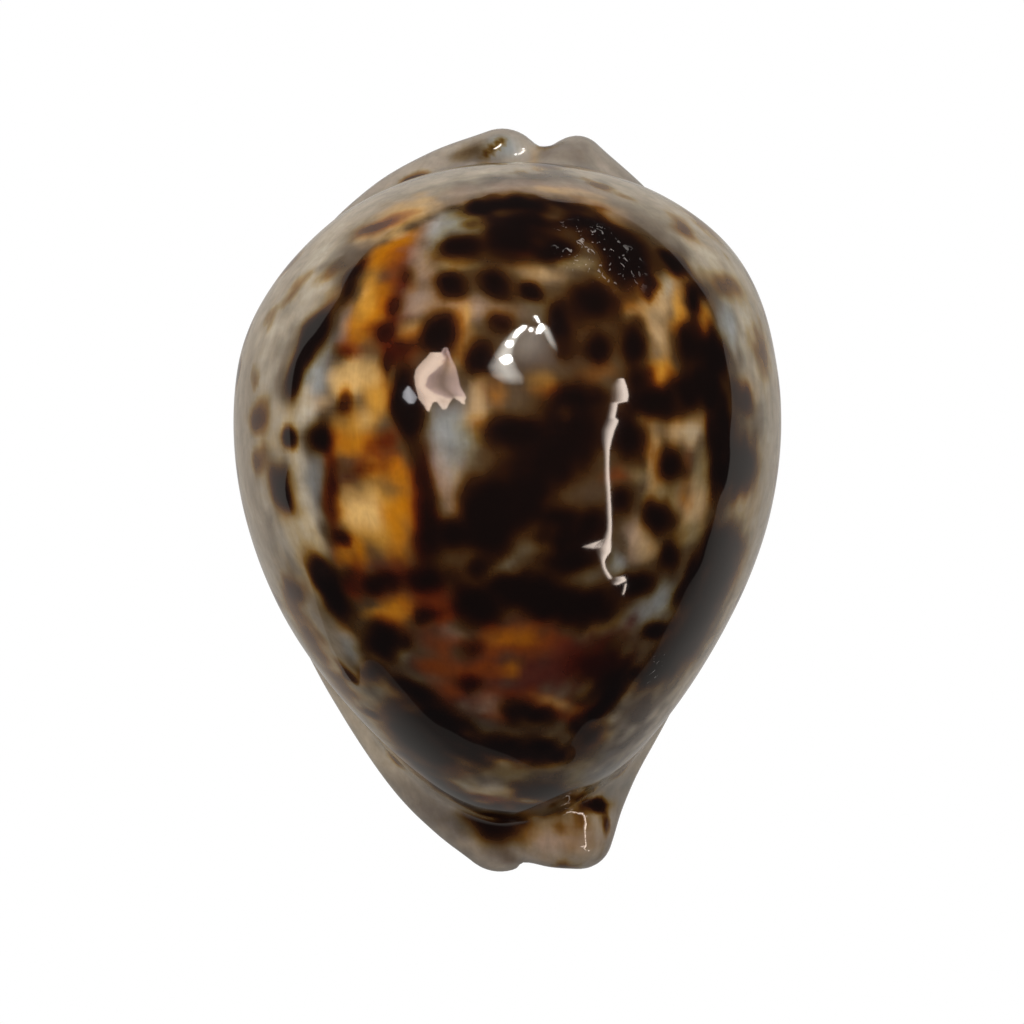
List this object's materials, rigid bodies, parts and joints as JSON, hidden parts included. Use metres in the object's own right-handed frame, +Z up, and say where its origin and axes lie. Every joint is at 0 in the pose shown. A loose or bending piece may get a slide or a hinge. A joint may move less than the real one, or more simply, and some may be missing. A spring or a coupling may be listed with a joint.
{
  "type": "tiger cowrie shell",
  "caption": "Tall, glossy egg-shaped cowrie shell with dark spots, thick lobed ends and a long toothed aperture in its flat base, lying on that base.",
  "frame": {"origin": "on the resting plane, under the middle of the shell's bounding box", "axes": "+Y towards the broad rear end with the spire, +X towards the columella side, +Z up through the dome"},
  "size_m": [0.0588, 0.0821, 0.0459],
  "materials": {
    "glossy_shell": "gloss"
  },
  "bodies": {
    "root": {"cowrie_shell": "glossy_shell"}
  },
  "joints": []
}
